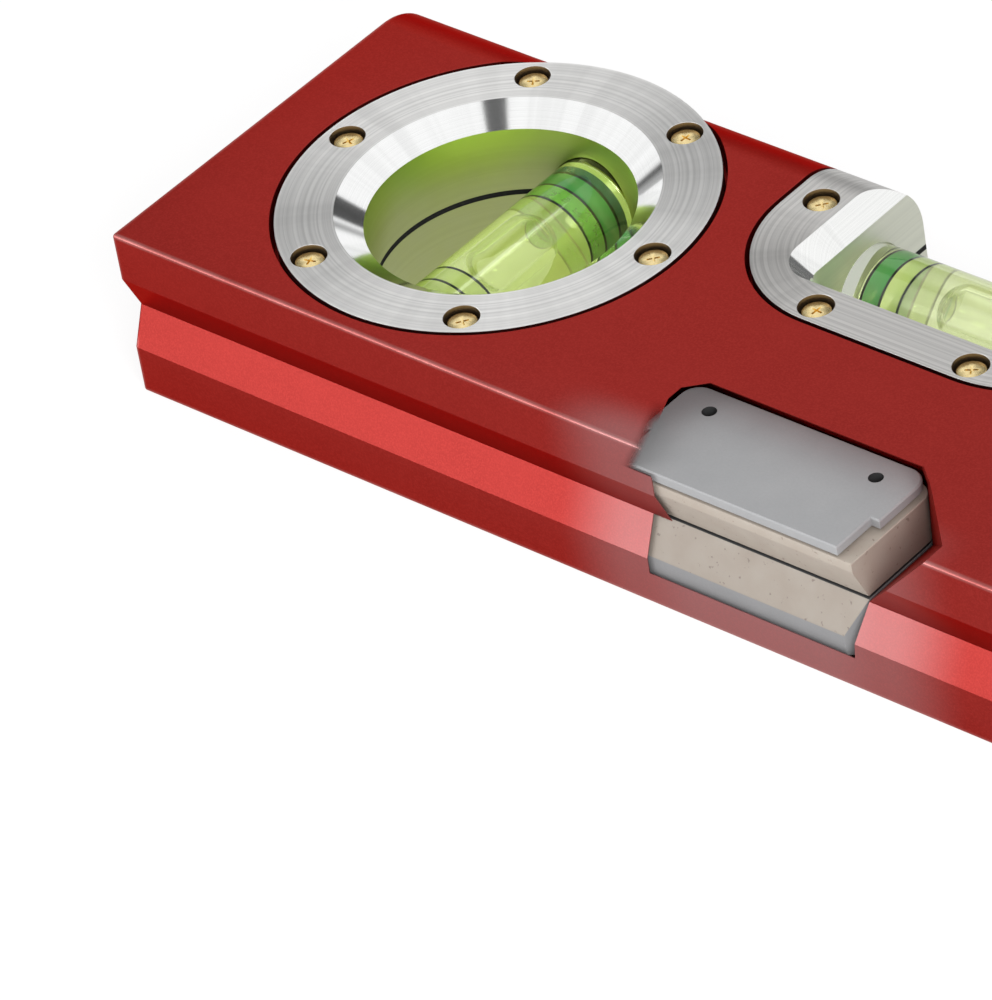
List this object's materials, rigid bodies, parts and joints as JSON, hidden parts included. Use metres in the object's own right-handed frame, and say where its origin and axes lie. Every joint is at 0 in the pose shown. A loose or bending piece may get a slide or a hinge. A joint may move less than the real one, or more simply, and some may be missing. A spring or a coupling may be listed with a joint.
{
  "type": "spirit level",
  "caption": "Short spirit level with a V grooved magnetic working edge and screw clamped vials for level, plumb and 45 degree checks.",
  "frame": {"origin": "the middle of the back side face's outline, which is the middle of the bounding box's underside", "axes": "+X along the bar towards the 45 degree vial, +Y from the working edge towards the top edge, +Z out of the front side face"},
  "size_m": [0.165, 0.051, 0.0205],
  "materials": {
    "body": "satin red anodised",
    "bezel": "turned, with fine concentric tool lines and a polished cone",
    "gasket": "matt black",
    "vial_tube": "clear acrylic",
    "vial_plug": "clear acrylic",
    "vial_liquid": "clear yellow green liquid",
    "vial_bubble": "clear gas",
    "screw": "bright turned brass",
    "pole": "matt grey",
    "magnet": "nickel plated"
  },
  "bodies": {
    "level_frame": {"body": "body", "plumb_bezel_front": "bezel", "plumb_bezel_back": "bezel", "plumb_gasket": "gasket", "plumb_vial_tube": "vial_tube", "plumb_vial_plug": "vial_plug", "plumb_vial_liquid": "vial_liquid", "plumb_screw_front_1": "screw", "plumb_screw_front_2": "screw", "plumb_screw_front_3": "screw", "plumb_screw_front_4": "screw", "plumb_screw_front_5": "screw", "plumb_screw_front_6": "screw", "plumb_screw_back_1": "screw", "plumb_screw_back_2": "screw", "plumb_screw_back_3": "screw", "plumb_screw_back_4": "screw", "plumb_screw_back_5": "screw", "plumb_screw_back_6": "screw", "level_bezel_front": "bezel", "level_bezel_back": "bezel", "level_gasket": "gasket", "level_vial_tube": "vial_tube", "level_vial_plug": "vial_plug", "level_vial_liquid": "vial_liquid", "level_screw_front_1": "screw", "level_screw_front_2": "screw", "level_screw_front_3": "screw", "level_screw_front_4": "screw", "level_screw_back_1": "screw", "level_screw_back_2": "screw", "level_screw_back_3": "screw", "level_screw_back_4": "screw", "angle_bezel_front": "bezel", "angle_bezel_back": "bezel", "angle_gasket": "gasket", "angle_vial_tube": "vial_tube", "angle_vial_plug": "vial_plug", "angle_vial_liquid": "vial_liquid", "angle_screw_front_1": "screw", "angle_screw_front_2": "screw", "angle_screw_front_3": "screw", "angle_screw_front_4": "screw", "angle_screw_front_5": "screw", "angle_screw_front_6": "screw", "angle_screw_back_1": "screw", "angle_screw_back_2": "screw", "angle_screw_back_3": "screw", "angle_screw_back_4": "screw", "angle_screw_back_5": "screw", "angle_screw_back_6": "screw", "magnet_top_pole": "pole", "magnet_block": "magnet", "magnet_lower_pole": "pole"},
    "plumb_bubble": {"plumb_vial_bubble": "vial_bubble"},
    "level_bubble": {"level_vial_bubble": "vial_bubble"},
    "angle_bubble": {"angle_vial_bubble": "vial_bubble"}
  },
  "joints": [
    {"name": "plumb_bubble_slide", "type": "slide", "parent": "level_frame", "child": "plumb_bubble", "axis": [0, 1, 0], "range_m": [-0.0081, 0.0081], "stiffness_N_per_m": 0.02},
    {"name": "level_bubble_slide", "type": "slide", "parent": "level_frame", "child": "level_bubble", "axis": [1, 0, 0], "range_m": [-0.0081, 0.0081], "stiffness_N_per_m": 0.02},
    {"name": "angle_bubble_slide", "type": "slide", "parent": "level_frame", "child": "angle_bubble", "axis": [0.7071, 0.7071, 0], "range_m": [-0.0081, 0.0081], "stiffness_N_per_m": 0.02}
  ]
}
